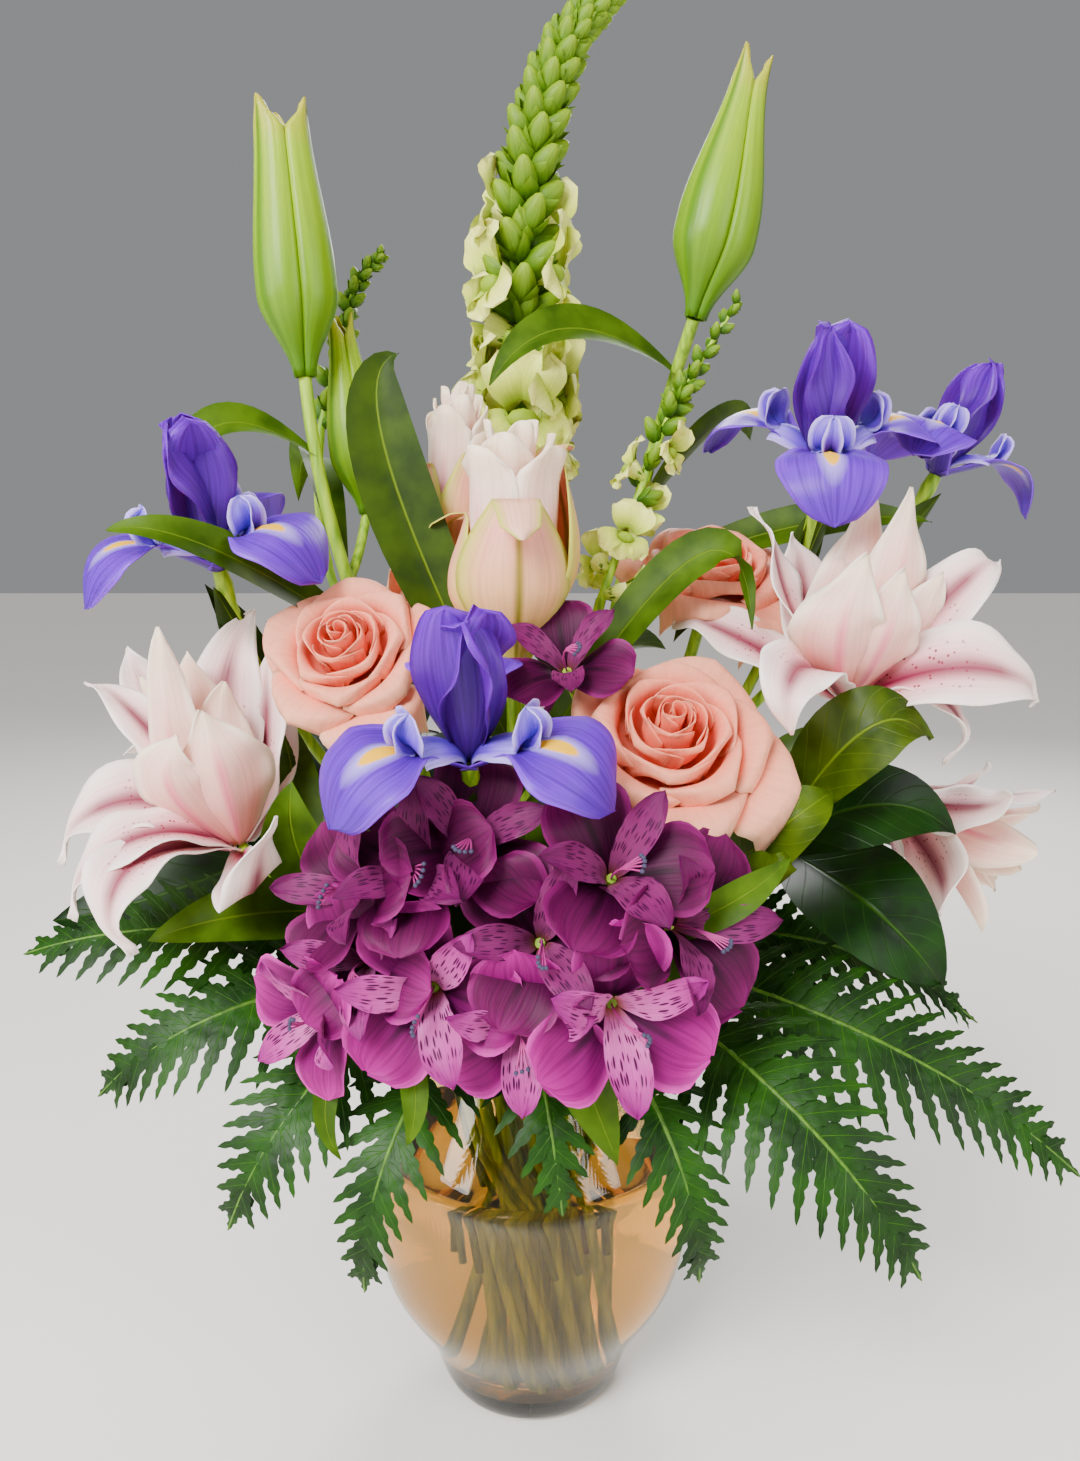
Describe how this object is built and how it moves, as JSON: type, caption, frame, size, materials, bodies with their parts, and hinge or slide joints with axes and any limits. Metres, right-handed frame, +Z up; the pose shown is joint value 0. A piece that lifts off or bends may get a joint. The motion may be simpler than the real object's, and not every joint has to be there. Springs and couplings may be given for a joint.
{
  "type": "mixed flower bouquet in a glass vase",
  "caption": "Mixed bouquet of irises, roses, lilies, snapdragons and alstroemeria with fern and leaves, standing in a clear glass vase of water.",
  "frame": {"origin": "middle of the vase's flat foot, on the surface it stands on", "axes": "+Z up, the bouquet faces -Y, and +X is to the right of a viewer in front of it"},
  "size_m": [0.4362, 0.3278, 0.6225],
  "materials": {
    "glass": "clear",
    "water": "clear",
    "iris_petals": "petal, satin",
    "rose_petals": "petal, velvety",
    "lily_petals": "petal, satin",
    "lily_bud": "petal, satin",
    "snapdragon": "petal, velvety",
    "alstroemeria": "petal, satin",
    "stem": "green stem, satin",
    "lily_leaf": "leaf, satin",
    "fern": "leaf, satin",
    "salal": "leaf, waxy"
  },
  "bodies": {
    "root": {"vase": "glass", "iris_left_stem": "stem", "iris_front_stem": "stem", "iris_right_stem": "stem", "iris_far_right_stem": "stem", "rose_left_stem": "stem", "rose_right_stem": "stem", "rose_back_right_stem": "stem", "rose_back_stem": "stem", "iris_left_bloom": "iris_petals", "iris_front_bloom": "iris_petals", "iris_right_bloom": "iris_petals", "iris_far_right_bloom": "iris_petals", "rose_left_bloom": "rose_petals", "rose_right_bloom": "rose_petals", "rose_back_right_bloom": "rose_petals", "rose_back_bloom": "rose_petals", "lily_bloom_left": "lily_petals", "lily_bloom_right": "lily_petals", "lily_bloom_low_right": "lily_petals", "lily_half_open_front": "lily_petals", "lily_half_open_back": "lily_petals", "lily_bud_left": "lily_bud", "lily_bud_small": "lily_bud", "lily_bud_right": "lily_bud", "snapdragon_centre": "snapdragon", "snapdragon_right": "snapdragon", "snapdragon_left": "snapdragon", "lily_tall_left_stem": "lily_leaf", "lily_tall_right_stem": "lily_leaf", "lily_centre_stem": "lily_leaf", "lily_left_stem": "lily_leaf", "lily_right_stem": "lily_leaf", "alstroemeria_top_left": "alstroemeria", "alstroemeria_low_left": "alstroemeria", "alstroemeria_front": "alstroemeria", "alstroemeria_right": "alstroemeria", "alstroemeria_high": "alstroemeria", "alstroemeria_back": "alstroemeria", "salal_right": "salal", "salal_right_low": "salal", "salal_left": "salal", "salal_back_left": "salal", "salal_back": "salal", "fern_right_low": "fern", "fern_right_long": "fern", "fern_right_high": "fern", "fern_vase_right": "fern", "fern_front": "fern", "fern_vase_left": "fern", "fern_left_low": "fern", "fern_left_long": "fern", "fern_left_mid": "fern", "fern_back_left": "fern", "fern_back": "fern", "fern_back_right": "fern", "water": "water"}
  },
  "joints": []
}
